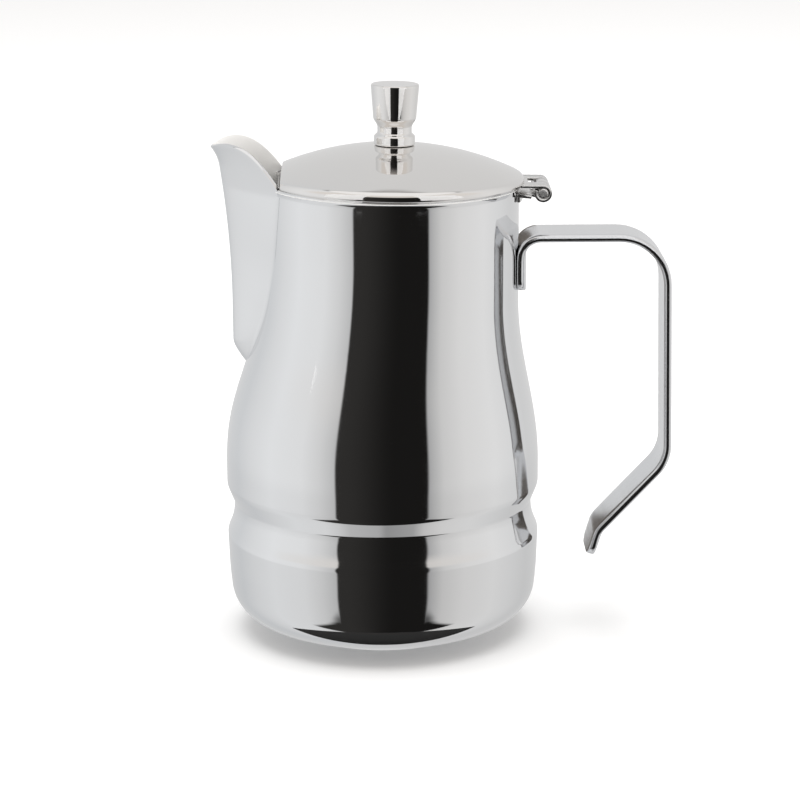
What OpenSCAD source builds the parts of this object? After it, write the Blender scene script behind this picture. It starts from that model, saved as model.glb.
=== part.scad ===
// Lidded coffee pot in polished stainless steel: a pear-shaped body with a grooved foot, a seamed
// V spout, a bent strap handle, and a domed lid that swings on a three-knuckle hinge.
// Millimetres. +Z is up, the origin is the centre of the base, +X points towards the handle and
// -X towards the spout. The lid is drawn shut.

/* [Body] */
// Sheet thickness of the body
wall = 0.8; // [0.6:0.1:1.2]
// Radius of the flat ring the pot stands on
base_r = 26; // [22:0.5:28]
// Radius of the rounded corner between the underside and the barrel
foot_corner = 11; // [8:0.5:14]
// Radius of the barrel at its shoulder below the groove
barrel_r = 45.38; // [44.5:0.02:46]
// Radius at the floor of the groove
groove_r = 43.3; // [42.5:0.05:44]
// Radius of the pear's widest circle
bulge_r = 45.35; // [44.5:0.05:46]
// Height of the pear's widest circle
bulge_z = 50; // [49:0.5:53]
// Distance from the body's axis to the neck's wall on the handle side
neck_side = 39.35; // [38.5:0.05:40]
// Height where the pear's flank has become the neck
neck_z = 98; // [92:1:104]
// How far the neck's axis stands from the body's axis, towards the handle
neck_shift = 3; // [2:0.1:4]
// Height of the neck's rim
rim_z = 130.9; // [128:0.1:132]
// How far the rim flares out
rim_flare = 0.6; // [0:0.1:0.8]

/* [Spout] */
// Sheet thickness of the spout, measured along X
spout_wall = 1.1; // [0.9:0.1:1.4]
// Height where the spout's foot leaves the body
foot_z = 79.8; // [76:0.2:84]
// Distance from the body's axis to the upright part of the spout's nose
nose_reach = 42.8; // [41.5:0.1:44]
// How far the nose leans out between the neck and the rim
nose_lean = 2.3; // [1:0.1:3]
// Extra reach of the pouring tip
tip_flick = 1.6; // [0:0.1:2.5]
// Half the spout's width where it meets the neck's rim
seam_half = 18; // [14:0.5:20]
// Height of the lip's highest point
lip_z = 143.5; // [140:0.5:146]

/* [Handle] */
// Width of the strap
strap_w = 18; // [14:0.5:22]
// Thickness of the strap
strap_t = 2.2; // [1.6:0.1:3]
// Height of the lower end of the tab that is welded to the neck
tab_z = 101; // [98:0.5:104]
// Height of the middle of the strap's level run
grip_z = 116.3; // [114:0.1:118]
// Distance from the body's axis to the middle of the strap's upright run
grip_x = 82.4; // [76:0.2:90]
// Height where the upright run bends towards the tip
elbow_z = 50.8; // [46:0.2:56]

/* [Lid] */
// Radius of the lid over its rolled edge
lid_r = 37.1; // [36.6:0.1:37.6]
// Sheet thickness of the lid
lid_wall = 0.8; // [0.6:0.1:1]
// Height of the dome's crown with the lid level
crown_z = 141.65; // [139:0.05:144]
// Radius of the dome's curve
dome_r = 85; // [75:1:110]
// Distance from the body's axis to the straight cut on the spout's side
chord_x = 28; // [26:0.5:30]
// Angle at which the shut lid rests on the rim and the spout
rest_tilt = 0.9; // [0.5:0.1:1.5]
// Height of the knob
knob_h = 17.3; // [14:0.1:22]

/* [Hinge] */
// Distance from the body's axis to the hinge pin
pin_x = 45.8; // [45:0.1:47]
// Height of the hinge pin
pin_z = 129.35; // [128.5:0.05:130]
// Radius of the hinge pin
pin_r = 1.45; // [1.2:0.05:1.6]
// Running clearance of the pin in the lid's knuckles, on the radius
pin_gap = 0.05; // [0.01:0.01:0.1]
// Outer radius of the knuckles
knuckle_r = 2.5; // [2.3:0.05:2.7]
// Length of the middle knuckle
middle_l = 8; // [6:0.5:10]
// Side gap between neighbouring knuckles
side_gap = 0.1; // [0.05:0.05:0.3]

/* [Hidden] */
$fn = 96;

// Base: the shallow recess inside the ring, and the ring's width
recess = 0.8;
ring_w = 2.5;
// Where the cone of the underside would meet the barrel, and a point part-way up the barrel
foot_point = [43.75, 6.8];
barrel_point = [44.95, 18.5];
// Heights of the groove: lower shoulder, both ends of its floor, upper shoulder
groove_z = [29.7, 34.6, 38.9, 43.9];
// Bend radii along the lower body, from the recess to the upper shoulder
lower_bends = [1, 1, 3, foot_corner, 100, 4, 16, 2, 5];
// Heights between which the neck's axis moves over towards the handle
shift_z = [58, 114];
// Height of the flare below the rim
flare_h = 1.8;
// Half the window cut through the neck is this much narrower than the spout's seam
window_margin = 2.5;
// Spout: height over which the foot rounds out, where the nose starts to lean and to flick,
// and the radius of the nose's fold
foot_h = 6.7;
lean_z = [97, 132];
flick_z = [137, 142.2];
fold_r = 4;
// Lip: X of its highest point, and how fast it falls away on both sides
lip_x = -43;
lip_fall = 0.055;
// Handle: bend radii from the tab to the tip, how much nearer the body the upright run is at its top,
// the run towards the tip and the tip's own run, and the radius of the strap's round ends
bend_r = [5, 14, 12, 6];
grip_lean = 1.1;
tip_run = [19.7, 21];
tip_end = [2.3, 7.5];
end_r = 3.5;
edge_r = 0.9;
// Lid: centre, and the outer radii of its edge, first where it is rolled down, then where it curls under
lid_x = 3.8;
bead_r = 2.2;
curl_r = 0.9;
// Knob: underside, and its foot and head radii
knob_z = crown_z - 0.09;
knob_foot_r = 5.86;
knob_waist_r = 4.88;
knob_head_r = [6.12, 6.84];
// Screw: shank, hole in lid and knob, head
screw_r = 2;
screw_hole_r = 2.05;
screw_head = [3.6, 2.2];
washer = [5, 0.8];
// Level of the washer's lower face: its rim bears on the underside of the dome
seat_z = crown_z - lid_wall - 0.25 - washer[1];
// Hinge: sheet thickness, level of the bracket's plate, width of its flange and the flange's inner
// radius, half the width of the pad under the dome, and the pad's inner end
leaf_t = 1;
bracket_z = 128.4;
flange_w = 1.6;
flange_r = neck_side - neck_shift + 0.02;
pad_half = 5;
pad_start = [31, 135.5];

// ---------- curves ----------

// S-curve from 0 to 1
function ease(t) = (1 - cos(180 * min(1, max(0, t)))) / 2;
function blend(a, b, t) = a + (b - a) * ease(t);
function part_way(z, range) = (z - range[0]) / (range[1] - range[0]);

// Distance from the body's axis to its wall on the handle side, above the groove
function side_r(z) = blend(bulge_r, neck_side, part_way(z, [bulge_z, neck_z]));

// X of the centre of the body's circle at height z, its radius there, and the rim's flare
function centre_x(z) = neck_shift * ease(part_way(z, shift_z));
function circle_r(z) = side_r(z) - centre_x(z);
function flare(z) = rim_flare * pow(max(0, 1 - (rim_z - z) / flare_h), 2);

// The rim is cut to the slope of the shut lid: how far it is raised at x, and at the height z below it
function raised(x, z) = tan(rest_tilt) * (neck_side - x) * ease(part_way(z, [neck_z, rim_z]));

neck_r = neck_side - neck_shift;

// X of the spout's nose at height z
function free_nose(z) = -nose_reach
    - nose_lean * pow(max(0, part_way(z, lean_z)), 2)
    - tip_flick * pow(max(0, part_way(z, flick_z)), 2);
function nose_x(z) =
    let (skin = centre_x(z) - circle_r(z), out = pow(sin(90 * min(1, (z - foot_z) / foot_h)), 0.8))
    skin + (free_nose(z) - skin) * out;

// Half-width and X of the line where the spout meets the neck, carried on upwards past the rim
function seam_w(z) = z < rim_z
    ? seam_half * pow(max(0, z - foot_z) / (rim_z - foot_z), 0.42)
    : seam_half + 0.42 * (z - rim_z);
function seam_x(z) =
    let (h = min(z, rim_z))
    centre_x(h) - sqrt(pow(circle_r(h), 2) - pow(seam_w(h), 2));

// A level cut through the spout's outer face: a V with a round fold, widened past the seam
function fold_x(z, y) =
    let (depth = seam_x(z) - nose_x(z),
         slope = sqrt(pow(depth + fold_r, 2) - fold_r * fold_r) / seam_w(z))
    nose_x(z) + sqrt(fold_r * fold_r + pow(slope * y, 2)) - fold_r;
function spout_ring(z, steps = 9) =
    let (reach = seam_w(z) + 3)
    [for (i = [steps:-1:-steps]) let (y = reach * i / steps) [fold_x(z, y), y, z]];

// ---------- paths and skins ----------

function unit(v) = v / norm(v);
function cross2(a, b) = a[0] * b[1] - a[1] * b[0];

// Round the corner b of the path a, b, c with radius r
function corner(a, b, c, r, steps = 8) =
    let (u = unit(a - b), v = unit(c - b), half = acos(u * v) / 2, m = b + unit(u + v) * r / sin(half),
         p = b + u * r / tan(half) - m, turn = (180 - 2 * half) * (cross2(u, v) > 0 ? -1 : 1))
    [for (i = [0:steps]) let (a = turn * i / steps)
        m + [p[0] * cos(a) - p[1] * sin(a), p[0] * sin(a) + p[1] * cos(a)]];
function round_path(v, radii) =
    [v[0], for (i = [1:len(v) - 2]) each corner(v[i - 1], v[i], v[i + 1], radii[i - 1]), v[len(v) - 1]];

// Direction of a path at point i, and the path moved sideways to its left
function heading(path, i) =
    let (n = len(path) - 1) unit(path[min(n, i + 1)] - path[max(0, i - 1)]);
function left_of(path, d) =
    [for (i = [0:len(path) - 1]) let (h = heading(path, i)) path[i] + d * [-h[1], h[0]]];
function reversed(list) = [for (i = [len(list) - 1:-1:0]) list[i]];
function sheet(path, t) = concat(left_of(path, t / 2), reversed(left_of(path, -t / 2)));
function run_to(path, i) = i == 0 ? 0 : run_to(path, i - 1) + norm(path[i] - path[i - 1]);

// Solid through a stack of rings that all have the same number of points
module skin(rings, loop = false) {
    n = len(rings[0]);
    m = len(rings);
    last = loop ? m - 1 : m - 2;
    points = [for (ring = rings) each ring];
    sides = [for (i = [0:last], j = [0:n - 1])
        let (k = (j + 1) % n, up = (i + 1) % m)
        each [[i * n + j, up * n + j, up * n + k], [i * n + j, up * n + k, i * n + k]]];
    ends = loop ? [] : [[for (j = [0:n - 1]) j], [for (j = [n - 1:-1:0]) (m - 1) * n + j]];
    polyhedron(points, concat(sides, ends));
}

// An outline drawn in X and Z, given a width along Y
module across(width) {
    rotate([90, 0, 0]) linear_extrude(width, center = true) children();
}

// ---------- body ----------

function body_ring(z, inset, steps = 48) =
    [for (i = [0:steps - 1]) let (a = 360 * i / steps, r = circle_r(z) - inset, x = centre_x(z) + r * cos(a))
        [x, r * sin(a), z + raised(x, z)]];

// Outer line of the recess, foot, barrel, groove and bulge
lower_line = round_path(
    [[0, recess], [base_r - ring_w - recess, recess], [base_r - ring_w, 0], [base_r, 0], foot_point,
     barrel_point, [barrel_r, groove_z[0]], [groove_r, groove_z[1]], [groove_r, groove_z[2]],
     [bulge_r, groove_z[3]], [bulge_r, bulge_z]], lower_bends);

module lower_body() {
    rotate_extrude() polygon(concat(lower_line, reversed(left_of(lower_line, wall))));
}

// Heights of the rings from the pear's widest circle to the rim
flank_z = [for (i = [0:12]) bulge_z + (shift_z[1] - bulge_z) * i / 12];
rim_zs = [for (i = [0:4]) rim_z - flare_h * (1 - i / 4)];

// Flank, neck and flared rim in one skin: the circles move over towards the handle as they rise.
// Its lowest ring is a tongue inside the sheet of the lower body.
module upper_body() {
    z = concat([for (i = [1:12]) flank_z[i]], rim_zs);
    tongue = 0.2;
    skin(concat(
        [body_ring(bulge_z - 0.5, tongue), body_ring(bulge_z + 0.5, 0)],
        [for (h = z) body_ring(h, -flare(h))],
        [for (h = reversed(z)) body_ring(h, wall - flare(h))],
        [body_ring(bulge_z + 0.5, wall), body_ring(bulge_z - 0.5, wall - tongue)]), loop = true);
}

// Everything inside the outer face of the pear and the neck, to trim what is welded to it
module neck_solid() {
    skin([for (h = concat(flank_z, [rim_z])) body_ring(h, 0)]);
}

// The neck is open behind the spout
module spout_window() {
    z = [for (i = [0:8]) foot_z + 5 + (rim_z - foot_z - 5) * i / 8];
    half = [for (h = z) seam_w(h) - window_margin];
    top = [[half[8], rim_z + 5], [-half[8], rim_z + 5]];
    rotate([90, 0, -90]) linear_extrude(60) polygon(concat(
        [for (i = [8:-1:0]) [-half[i], z[i]]], [for (i = [0:8]) [half[i], z[i]]], top));
}

module body_shell() {
    color("gainsboro") difference() {
        union() {
            lower_body();
            upper_body();
        }
        spout_window();
    }
}

// ---------- spout ----------

module spout_block(steps = 24) {
    start = foot_z + 0.3;
    skin([for (i = [0:steps]) spout_ring(start + (lip_z + 2 - start) * pow(i / steps, 1.5))]);
}

// Everything above the lip
module above_lip() {
    fall = [for (x = [-54:2:-20]) [x, lip_z - lip_fall * pow(x - lip_x, 2)]];
    across(100) polygon(concat(fall, [[-20, lip_z + 10], [-54, lip_z + 10]]));
}

module spout() {
    color("gainsboro") difference() {
        spout_block();
        translate([spout_wall, 0, 0]) spout_block();
        above_lip();
        neck_solid();
    }
}

// Polished weld bead that follows the seam down one side, round the foot and up the other
module spout_weld(bead_r = 0.7, steps = 14, sides = 8) {
    z = [for (i = [0:steps]) foot_z + (rim_z - 1 - foot_z) * pow(i / steps, 1.6)];
    one = [for (i = [steps:-1:1]) [seam_x(z[i]), -seam_w(z[i]), z[i]]];
    path = concat(one, [[seam_x(foot_z), 0, foot_z]], [for (p = reversed(one)) [p[0], -p[1], p[2]]]);
    color("silver") skin([for (i = [0:len(path) - 1])
        let (h = heading(path, i), u = unit(cross(h, [1, 0, 0])), v = cross(h, u))
        [for (j = [0:sides - 1]) let (a = 360 * j / sides) path[i] + bead_r * (u * cos(a) + v * sin(a))]]);
}

// ---------- handle ----------

// Middle line of the strap, in X and Z, from the tab's lower end to the tip
knee = [grip_x, elbow_z] - tip_run;
grip_path = round_path(
    [[neck_side + strap_t / 2, tab_z], [neck_side + strap_t / 2, grip_z], [grip_x - grip_lean, grip_z],
     [grip_x, elbow_z], knee, knee - tip_end], bend_r);
grip_l = run_to(grip_path, len(grip_path) - 1);

// Half the strap's width at a distance s along it, with its ends rounded off
function strap_half(s) =
    let (e = min(s, grip_l - s, end_r)) strap_w / 2 - end_r + sqrt(end_r * end_r - pow(end_r - e, 2));

// The tab is dished to the neck, and the strap has flattened out by the end of the first bend
function dish(s, y) = (neck_r - sqrt(neck_r * neck_r - y * y)) * (1 - ease((s - 8) / 10));

// One cut across the strap, at the path point p with the heading h
function strap_ring(p, h, s) =
    let (w = strap_half(s), t = strap_t / 2, e = edge_r,
         cut = [[-w, -t + e], [-w + e, -t], [-w / 2, -t], [0, -t], [w / 2, -t], [w - e, -t], [w, -t + e],
                [w, t - e], [w - e, t], [w / 2, t], [0, t], [-w / 2, t], [-w + e, t], [-w, t - e]])
    [for (c = cut) let (d = c[1] + dish(s, c[0])) [p[0] - h[1] * d, c[0], p[1] + h[0] * d]];

// Points added near both ends, so that the round ends are smooth
function with_ends(path) =
    let (n = len(path) - 1, a = heading(path, 0), b = heading(path, n), e = [0.02, 0.4, 1.2, 2.2, 3.5])
    concat([for (d = e) path[0] + a * d], [for (i = [1:n - 1]) path[i]],
           [for (d = reversed(e)) path[n] - b * d]);

module handle_strap() {
    path = with_ends(grip_path);
    color("silver") skin([for (i = [0:len(path) - 1])
        strap_ring(path[i], heading(path, i), run_to(path, i) + 0.02)]);
}

// Round welds through a welded plate and the neck's wall, seen inside the pot as low buttons
module spot_welds(places, through, r = 1.9) {
    for (p = places) {
        a = asin(p[0] / neck_r);
        translate([neck_shift, 0, p[1]]) rotate([0, 0, a]) translate([neck_r, 0, 0]) rotate([0, 90, 0]) {
            translate([0, 0, -wall - 0.25]) cylinder(h = wall + through + 0.25, r = r);
            translate([0, 0, -wall - 0.5]) cylinder(h = 0.3, r = r - 0.5);
        }
    }
}

module handle_spot_welds() {
    color("darkgray") spot_welds([[-4.5, 104.5], [4.5, 104.5], [-4.5, 109.5], [4.5, 109.5]], 0.9);
}

// ---------- hinge on the neck ----------

// The pin's axis, lying along Y
module at_pin() {
    translate([pin_x, 0, pin_z]) rotate([90, 0, 0]) children();
}

// Lower leaf: a plate that slopes out from the neck to the middle knuckle, and a flange on the neck
module hinge_bracket() {
    low = pin_z - knuckle_r + leaf_t / 2;
    plate = round_path([[flange_r, bracket_z + 0.7], [pin_x - 3.5, bracket_z], [pin_x, low]], [4]);
    color("silver") difference() {
        union() {
            intersection() {
                across(strap_w) polygon(sheet(plate, leaf_t));
                translate([0, -strap_w, 0]) cube([pin_x - knuckle_r - 0.2, 2 * strap_w, 200]);
            }
            across(middle_l) polygon(sheet(plate, leaf_t));
            intersection() {
                translate([neck_shift, 0, bracket_z - flange_w])
                    cylinder(h = flange_w + 0.4, r = flange_r + leaf_t);
                translate([neck_shift, -strap_w / 2, 0]) cube([100, strap_w, 200]);
            }
            at_pin() cylinder(h = middle_l, r = knuckle_r, center = true);
        }
        translate([neck_shift, 0, bracket_z - 10]) cylinder(h = 20, r = flange_r);
        at_pin() cylinder(h = 30, r = pin_r, center = true);
    }
}

module bracket_spot_welds() {
    y = 5.5;
    z = bracket_z - 0.7;
    color("darkgray") spot_welds([[-y, z], [y, z]], 0.7, 0.9);
}

module hinge_pin(chamfer = 0.25) {
    half = strap_w / 2 + 0.1;
    color("dimgray") at_pin() rotate_extrude() polygon(
        [[0, -half], [pin_r - chamfer, -half], [pin_r, -half + chamfer],
         [pin_r, half - chamfer], [pin_r - chamfer, half], [0, half]]);
}

// ---------- lid ----------

// The lid's pieces are drawn level and then turned about the pin to where the lid rests
module at_rest() {
    translate([pin_x, 0, pin_z]) rotate([0, rest_tilt, 0]) translate([-pin_x, 0, -pin_z]) children();
}

// Height of the dome at a distance r from the lid's centre
function dome_z(r) = crown_z - dome_r + sqrt(dome_r * dome_r - r * r);

// Height of the middle of the rolled edge, which runs on from the dome without a crease
bead_z = crown_z - dome_r + sqrt(pow(dome_r - bead_r, 2) - pow(lid_r - bead_r, 2));

// Half outline of the lid's sheet, moved inwards by d: the dome, the rolled edge and its curl
function lid_line(d) =
    let (start = acos((lid_r - bead_r) / (dome_r - bead_r)))
    concat(
        [for (i = [0:9]) let (a = (90 - start) * i / 10)
            [(dome_r - d) * sin(a), crown_z - dome_r + (dome_r - d) * cos(a)]],
        [for (i = [0:8]) let (a = start * (1 - i / 8))
            [lid_r - bead_r + (bead_r - d) * cos(a), bead_z + (bead_r - d) * sin(a)]],
        [for (a = [-18:-18:-90]) [lid_r - curl_r + (curl_r - d) * cos(a), bead_z + (curl_r - d) * sin(a)]]);

module lid_cover() {
    notch_half = strap_w / 2 + 0.15;
    color("silver") at_rest() difference() {
        translate([lid_x, 0, 0]) rotate_extrude() polygon(concat(lid_line(0), reversed(lid_line(lid_wall))));
        translate([-chord_x - 30, -50, 100]) cube([30, 100, 100]);
        translate([lid_x + 30, -notch_half, 120]) cube([20, 2 * notch_half, pin_z + knuckle_r + 0.15 - 120]);
        translate([lid_x, 0, 120]) cylinder(h = 40, r = screw_hole_r);
    }
}

// Upper leaf: a pad under the dome, a step down through the rolled edge, and two outer knuckles
module lid_hinge_leaf() {
    top = pin_z + knuckle_r - leaf_t / 2;
    path = round_path([pad_start, [36.2, 133.58], [38.9, top], [pin_x, top]], [2, 2]);
    slot_half = middle_l / 2 + side_gap;
    color("silver") at_rest() difference() {
        union() {
            intersection() {
                across(strap_w) polygon(sheet(path, leaf_t));
                translate([39.2, -20, 120]) cube([20, 40, 20]);
            }
            across(2 * pad_half) polygon(sheet(path, leaf_t));
            at_pin() cylinder(h = strap_w, r = knuckle_r, center = true);
        }
        translate([pin_x - 4, -slot_half, 120]) cube([20, 2 * slot_half, 20]);
        at_pin() cylinder(h = 30, r = pin_r + pin_gap, center = true);
    }
}

module leaf_spot_welds() {
    color("darkgray") at_rest() for (x = [32.3, 35], y = [-2.6, 2.6])
        translate([x, y, dome_z(norm([x - lid_x, y])) - lid_wall - 0.9]) cylinder(h = 1.2, r = 0.9);
}

// ---------- knob ----------

function knob_r(h) =
    h < 2.3 ? knob_foot_r :
    h < 5 ? blend(knob_foot_r, knob_waist_r, (h - 2.3) / 1.4) :
    h < 7.9 ? blend(knob_waist_r, knob_head_r[0], (h - 5) / 2.9) :
    knob_head_r[0] + (knob_head_r[1] - knob_head_r[0]) * (h - 7.9) / (knob_h - 0.6 - 7.9);

module lid_knob(top_round = 0.55) {
    crown = knob_head_r[1] - top_round;
    color("silver") at_rest() translate([lid_x, 0, knob_z]) difference() {
        rotate_extrude() polygon(concat(
            [[0, 0.6], [4.2, 0.6], [4.4, 0], [knob_foot_r - 0.35, 0]],
            [for (h = [0.5:0.3:7.9]) [knob_r(h), h]],
            [for (a = [0:22.5:90]) [crown + top_round * cos(a), knob_h - 0.6 + top_round * sin(a)]],
            [[crown / 2, knob_h], [0, knob_h]]));
        translate([0, 0, -1]) cylinder(h = 9.5, r = screw_hole_r);
    }
}

module knob_screw(slot_w = 0.9, slot_d = 1) {
    color("dimgray") at_rest() translate([lid_x, 0, seat_z]) difference() {
        union() {
            cylinder(h = 10, r = screw_r);
            rotate_extrude() polygon([[0, 0], [screw_head[0], 0], [screw_head[0], -1.4],
                                      [screw_head[0] - 0.8, -screw_head[1]], [0, -screw_head[1]]]);
        }
        translate([-screw_head[0] - 1, -slot_w / 2, -screw_head[1] - 1])
            cube([2 * screw_head[0] + 2, slot_w, slot_d + 1]);
    }
}

module knob_washer() {
    color("darkgray") at_rest() translate([lid_x, 0, seat_z]) difference() {
        cylinder(h = washer[1], r = washer[0]);
        translate([0, 0, -1]) cylinder(h = 4, r = screw_r + 0.15);
    }
}

body_shell();
spout();
spout_weld();
handle_strap();
handle_spot_welds();
hinge_bracket();
bracket_spot_welds();
hinge_pin();
lid_cover();
lid_hinge_leaf();
leaf_spot_welds();
lid_knob();
knob_screw();
knob_washer();
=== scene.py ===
"""Looks of a lidded coffee pot in polished stainless steel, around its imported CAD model.

Shapes are worked out in millimetres, with the CAD's own formulas, and become metres when a mesh
is made. +X points towards the handle, -X towards the spout, and the camera looks along +Y.
"""

import math

import bmesh
import bpy
import numpy as np
from mathutils import Matrix, Vector


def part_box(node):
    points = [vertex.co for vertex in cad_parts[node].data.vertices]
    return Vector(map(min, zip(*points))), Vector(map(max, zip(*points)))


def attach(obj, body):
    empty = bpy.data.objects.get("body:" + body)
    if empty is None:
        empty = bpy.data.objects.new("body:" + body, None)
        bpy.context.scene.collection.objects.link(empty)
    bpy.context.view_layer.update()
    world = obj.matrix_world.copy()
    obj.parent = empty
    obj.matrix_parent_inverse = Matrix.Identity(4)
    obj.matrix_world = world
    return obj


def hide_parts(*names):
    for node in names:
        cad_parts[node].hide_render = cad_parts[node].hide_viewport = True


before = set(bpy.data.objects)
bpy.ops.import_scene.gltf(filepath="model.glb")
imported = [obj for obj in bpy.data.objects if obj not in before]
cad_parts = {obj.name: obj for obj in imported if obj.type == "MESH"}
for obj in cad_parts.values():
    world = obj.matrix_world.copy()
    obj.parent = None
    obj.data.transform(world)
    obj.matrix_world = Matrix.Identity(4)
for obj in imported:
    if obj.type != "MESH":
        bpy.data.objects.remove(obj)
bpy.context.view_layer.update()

MM = 0.001


def node_box(node):
    """Lowest and highest corner of a CAD node, in millimetres."""
    lo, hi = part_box(node)
    return lo / MM, hi / MM


# ---------- sizes, in millimetres ----------

PIN_LO, PIN_HI = node_box("hinge_pin")
STRAP_LO, STRAP_HI = node_box("handle_strap")

# Body
WALL = 0.8
RIM_Z = 130.9
BULGE_R = 45.35
BULGE_Z = 50
BASE_R = 26
FOOT_CORNER = 11
FOOT_POINT = (43.75, 6.8)
BARREL_POINT = (44.95, 18.5)
BARREL_R = 45.38
GROOVE_R = 43.3
GROOVE_Z = (29.7, 34.6, 38.9, 43.9)
LOWER_BENDS = (1, 1, 3, FOOT_CORNER, 100, 4, 16, 2, 5)
NECK_SIDE = 39.35
NECK_Z = 98
NECK_SHIFT = 3
SHIFT_Z = (58, 114)
NECK_R = NECK_SIDE - NECK_SHIFT
RIM_FLARE = 0.6
FLARE_H = 1.8
RECESS = 0.8
RING_W = 2.5

# Spout
SPOUT_WALL = 0.9
FOOT_Z = 79.8
FOOT_H = 6.7
NOSE_REACH = 42.8
NOSE_LEAN = 2.3
LEAN_Z = (97, 132)
TIP_FLICK = 1.6
FLICK_Z = (137, 142.2)
FOLD_R = 4
SEAM_HALF = 18
LIP_Z = 143.5
LIP_X = -43
LIP_FALL = 0.055
WINDOW_MARGIN = 2.5
WINDOW_Z = FOOT_Z + 5
WINDOW_ROUND = 4
FILLET = 1.1

# Handle
STRAP_W = STRAP_HI.y - STRAP_LO.y
STRAP_T = 2.2
TAB_Z = 101
GRIP_Z = STRAP_HI.z - STRAP_T / 2
GRIP_X = 82.4
GRIP_LEAN = 1.1
ELBOW_Z = 50.8
TIP_RUN = (19.7, 21)
TIP_END = (2.3, 7.5)
BEND_R = (5, 14, 12, 6)
END_R = 3.5
EDGE_R = 0.95

# Hinge
PIN_X = (PIN_LO.x + PIN_HI.x) / 2
PIN_Z = (PIN_LO.z + PIN_HI.z) / 2
PIN_R = (PIN_HI.x - PIN_LO.x) / 2
KNUCKLE_R = 2.5
MIDDLE_L = 8
SIDE_GAP = 0.1
LEAF_T = 1
BRACKET_Z = 128.4
FLANGE_W = 1.6
PAD_HALF = 5
PAD_START = (31, 135.5)
PAD_END = (36.2, 133.58)
STEP_X = 38.9

# Lid
LID_X = 3.8
LID_R = 37.1
LID_WALL = 0.8
CROWN_Z = 141.65
DOME_R = 85
BEAD_R = 2.2
CURL_R = 0.9
CHORD_X = 28
REST_TILT = 0.9
KNOB_Z = CROWN_Z - 0.09
KNOB_H = 17.3
KNOB_FOOT_R = 5.86
KNOB_WAIST_R = 4.88
KNOB_HEAD_R = (6.12, 6.84)
KNOB_FOOT_H = 2.3
KNOB_NARROWING_H = 1.4
KNOB_WAIST_H = 5
KNOB_HEAD_H = 7.9
KNOB_TOP_H = 0.6
SCREW_R = 2
SCREW_HEAD = (3.6, 2.2)
WASHER = (5, 0.8)


# ---------- curves ----------


def ease(t):
    """S-curve from 0 to 1."""
    return (1 - math.cos(math.pi * min(1, max(0, t)))) / 2


def blend(a, b, t):
    return a + (b - a) * ease(t)


def part_way(z, span):
    return (z - span[0]) / (span[1] - span[0])


def side_r(z):
    """Distance from the body's axis to its wall on the handle side, above the groove."""
    return blend(BULGE_R, NECK_SIDE, part_way(z, (BULGE_Z, NECK_Z)))


def centre_x(z):
    return NECK_SHIFT * ease(part_way(z, SHIFT_Z))


def circle_r(z):
    return side_r(z) - centre_x(z)


def flare(z):
    return RIM_FLARE * max(0, 1 - (RIM_Z - z) / FLARE_H) ** 2


def raised(x, z):
    """How far the body is raised at x and at the height z: the rim is cut to the shut lid's slope."""
    return math.tan(math.radians(REST_TILT)) * (NECK_SIDE - x) * ease(part_way(z, (NECK_Z, RIM_Z)))


def seam_w(z):
    """Half the spout's width at its seam with the neck, carried on upwards past the rim."""
    if z < RIM_Z:
        return SEAM_HALF * (max(0, z - FOOT_Z) / (RIM_Z - FOOT_Z)) ** 0.42
    return SEAM_HALF + 0.42 * (z - RIM_Z)


def seam_x(z):
    h = min(z, RIM_Z)
    return centre_x(h) - math.sqrt(circle_r(h) ** 2 - seam_w(h) ** 2)


def nose_x(z):
    free = (-NOSE_REACH - NOSE_LEAN * max(0, part_way(z, LEAN_Z)) ** 2
            - TIP_FLICK * max(0, part_way(z, FLICK_Z)) ** 2)
    skin = centre_x(z) - circle_r(z)
    out = math.sin(math.pi / 2 * min(1, max(0, z - FOOT_Z) / FOOT_H)) ** 0.8
    return skin + (free - skin) * out


def fold_x(z, y):
    """A level cut through the spout's outer face: a V with a round fold."""
    w = max(seam_w(z), 1e-4)
    slope = math.sqrt((seam_x(z) - nose_x(z) + FOLD_R) ** 2 - FOLD_R ** 2) / w
    return nose_x(z) + math.hypot(FOLD_R, slope * y) - FOLD_R


def lip_top(t):
    """Height of the lip over the line that stays at the share t of the spout's half-width."""
    low, high = RIM_Z - 4, LIP_Z + 1
    for _ in range(40):
        z = (low + high) / 2
        over = z - LIP_Z + LIP_FALL * (fold_x(z, t * seam_w(z)) - LIP_X) ** 2
        low, high = (low, z) if over > 0 else (z, high)
    return (low + high) / 2


def turned(v, angle):
    c, s = math.cos(angle), math.sin(angle)
    return np.array([v[0] * c - v[1] * s, v[0] * s + v[1] * c])


def corner(a, b, c, r, steps=14):
    """Round the corner b of the path a, b, c with the radius r."""
    a, b, c = (np.array(p, float) for p in (a, b, c))
    u, v = (a - b) / np.linalg.norm(a - b), (c - b) / np.linalg.norm(c - b)
    half = math.acos(float(u @ v)) / 2
    middle = b + (u + v) / np.linalg.norm(u + v) * r / math.sin(half)
    start = b + u * r / math.tan(half) - middle
    turn = (math.pi - 2 * half) * (-1 if u[0] * v[1] - u[1] * v[0] > 0 else 1)
    return [middle + turned(start, turn * i / steps) for i in range(steps + 1)]


def round_path(points, radii, steps=14):
    path = [np.array(points[0], float)]
    for i, r in enumerate(radii, 1):
        path += corner(points[i - 1], points[i], points[i + 1], r, steps)
    return path + [np.array(points[-1], float)]


def arc(centre, r, start, end, steps):
    """Points on an arc, with its angles in degrees."""
    angles = np.radians(np.linspace(start, end, steps + 1))
    return [np.array([centre[0] + r * math.cos(a), centre[1] + r * math.sin(a)]) for a in angles]


def in_steps(line, longest):
    """The same line, with points added so that none is further from the last than the longest step."""
    dense = [line[0]]
    for p in line[1:]:
        start = dense[-1]
        pieces = max(1, math.ceil(np.linalg.norm(p - start) / longest))
        dense += [start + (p - start) * (i + 1) / pieces for i in range(pieces)]
    return dense


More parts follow.
